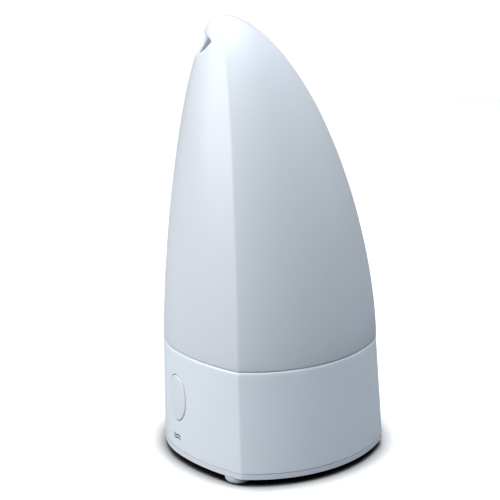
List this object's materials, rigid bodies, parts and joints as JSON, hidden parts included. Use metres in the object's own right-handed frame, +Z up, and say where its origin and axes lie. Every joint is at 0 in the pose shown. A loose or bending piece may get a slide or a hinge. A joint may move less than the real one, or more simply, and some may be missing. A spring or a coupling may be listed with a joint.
{
  "type": "cool mist humidifier",
  "caption": "Tabletop ultrasonic cool mist humidifier: ridged flame-shaped cover with a mist outlet near its tip, over a base with water tank, fan, front buttons and lamps.",
  "frame": {"origin": "middle of the base's bounding outline, on the table top under the feet", "axes": "+Z up; the front with the buttons and the mist outlet faces -Y; +X is to the right seen from the front"},
  "size_m": [0.1242, 0.1258, 0.2516],
  "materials": {
    "cover_pp": "translucent white, satin",
    "housing_abs": "glossy white moulding",
    "plate_abs": "satin white moulding",
    "button_abs": "smooth light grey moulding",
    "tank_pp": "translucent, satin",
    "inner_abs": "plain moulding",
    "fan_black": "glass filled, black",
    "foot_rubber": "light grey rubber",
    "gasket_rubber": "black silicone",
    "transducer_metal": "plated disc",
    "retainer_steel": "stamped",
    "screw_steel": "zinc plated",
    "board_green": "fibreglass board",
    "switch_black": "moulded",
    "lamp_clear": "clear moulding",
    "sink_aluminium": "extruded",
    "component_black": "moulded",
    "capacitor_can": "sleeved can",
    "lead_black": "insulated wire"
  },
  "bodies": {
    "base": {"base_housing": "housing_abs", "water_tank": "tank_pp", "standpipe_cap": "tank_pp", "transducer_disc": "transducer_metal", "transducer_gasket": "gasket_rubber", "transducer_retainer": "retainer_steel", "retainer_screws": "screw_steel", "fan_frame": "fan_black", "air_duct": "inner_abs", "fan_screws": "screw_steel", "mist_switch_body": "switch_black", "light_switch_body": "switch_black", "control_board": "board_green", "control_board_screws": "screw_steel", "indicator_leds": "lamp_clear", "indicator_light_pipes": "lamp_clear", "main_board": "board_green", "main_board_screws": "screw_steel", "heat_sink": "sink_aluminium", "power_transistor": "component_black", "capacitors": "capacitor_can", "inductor": "component_black", "controller_chip": "component_black", "light_board_left": "board_green", "light_board_right": "board_green", "light_leds": "lamp_clear", "light_board_screws": "screw_steel", "dc_jack": "component_black", "jack_lead": "lead_black", "fan_lead": "lead_black", "transducer_lead": "lead_black", "light_leads": "lead_black", "ribbon_cable": "lead_black", "bottom_plate": "plate_abs", "housing_screws": "screw_steel", "foot_front_left": "foot_rubber", "foot_front_right": "foot_rubber", "foot_back_left": "foot_rubber", "foot_back_right": "foot_rubber"},
    "cover": {"mist_cover": "cover_pp"},
    "guard": {"splash_guard": "tank_pp"},
    "mist_key": {"mist_button": "button_abs", "mist_switch_plunger": "switch_black"},
    "light_key": {"light_button": "button_abs", "light_switch_plunger": "switch_black"},
    "rotor": {"fan_rotor": "fan_black"}
  },
  "joints": [
    {"name": "cover_lift", "type": "slide", "parent": "base", "child": "cover", "axis": [0, 0, 1], "range_m": [0, 0.12]},
    {"name": "guard_lift", "type": "slide", "parent": "base", "child": "guard", "axis": [0, 0, 1], "range_m": [0, 0.016]},
    {"name": "mist_key_press", "type": "slide", "parent": "base", "child": "mist_key", "axis": [0, 1, 0], "range_m": [0, 0.0006], "stiffness_N_per_m": 800},
    {"name": "light_key_press", "type": "slide", "parent": "base", "child": "light_key", "axis": [0, 1, 0], "range_m": [0, 0.0006], "stiffness_N_per_m": 800},
    {"name": "fan_spin", "type": "hinge", "parent": "base", "child": "rotor", "pos_m": [0, 0.024, 0.015], "axis": [0, 0, 1], "continuous": true}
  ]
}
